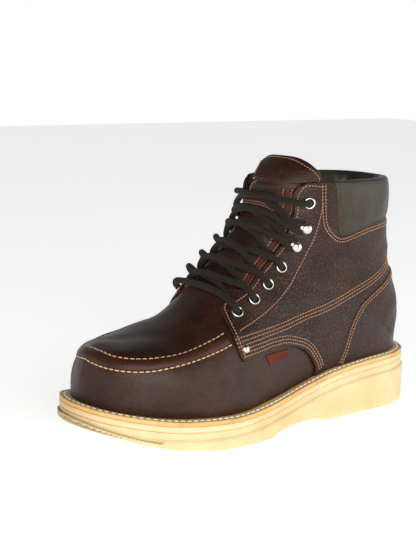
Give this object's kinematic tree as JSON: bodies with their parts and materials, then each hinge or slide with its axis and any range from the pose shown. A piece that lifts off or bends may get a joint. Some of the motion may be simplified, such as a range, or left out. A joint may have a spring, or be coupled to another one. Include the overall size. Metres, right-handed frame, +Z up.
{
  "type": "safety work boot",
  "caption": "Left ankle-high lace-up work boot with a moccasin-seam toe, padded collar, welt and flat wedge sole, for a foot of about 27 cm.",
  "frame": {"origin": "on the floor plane, at the middle of the heel's flat underside", "axes": "+Z up, toe towards -X, the outer (lateral) side of the left foot towards -Y"},
  "size_m": [0.3058, 0.1166, 0.199],
  "materials": {
    "upper_leather": "oiled, dark brown, worn",
    "collar_leather": "smooth, dark olive brown",
    "tongue_leather": "oiled, dark brown",
    "tag_leather": "plain rust red",
    "welt_leather": "natural tan",
    "insole_board": "matt brown",
    "midsole_rubber": "matt pinkish tan",
    "outsole_rubber": "matt cream",
    "lace_cord": "braided, waxed, dark",
    "fitting_metal": "nickel plate"
  },
  "bodies": {
    "root": {"outsole": "outsole_rubber", "midsole": "midsole_rubber", "welt": "welt_leather", "insole": "insole_board", "upper": "upper_leather", "moc_seam": "upper_leather", "quarter_lateral": "upper_leather", "quarter_medial": "upper_leather", "counter": "upper_leather", "backstay": "upper_leather", "back_tab": "upper_leather", "collar": "collar_leather", "side_tag": "tag_leather", "tongue": "tongue_leather", "lace_keeper": "upper_leather", "lace_bar": "lace_cord", "lace_crossing_1": "lace_cord", "lace_crossing_2": "lace_cord", "lace_crossing_3": "lace_cord", "lace_crossing_4": "lace_cord", "lace_crossing_5": "lace_cord", "lace_crossing_6": "lace_cord", "eyelet_lateral_1": "fitting_metal", "eyelet_lateral_2": "fitting_metal", "eyelet_lateral_3": "fitting_metal", "eyelet_lateral_4": "fitting_metal", "hook_lateral_5": "fitting_metal", "hook_lateral_6": "fitting_metal", "eyelet_lateral_7": "fitting_metal", "rivet_lateral": "fitting_metal", "eyelet_medial_1": "fitting_metal", "eyelet_medial_2": "fitting_metal", "eyelet_medial_3": "fitting_metal", "eyelet_medial_4": "fitting_metal", "hook_medial_5": "fitting_metal", "hook_medial_6": "fitting_metal", "eyelet_medial_7": "fitting_metal", "rivet_medial": "fitting_metal"}
  },
  "joints": []
}
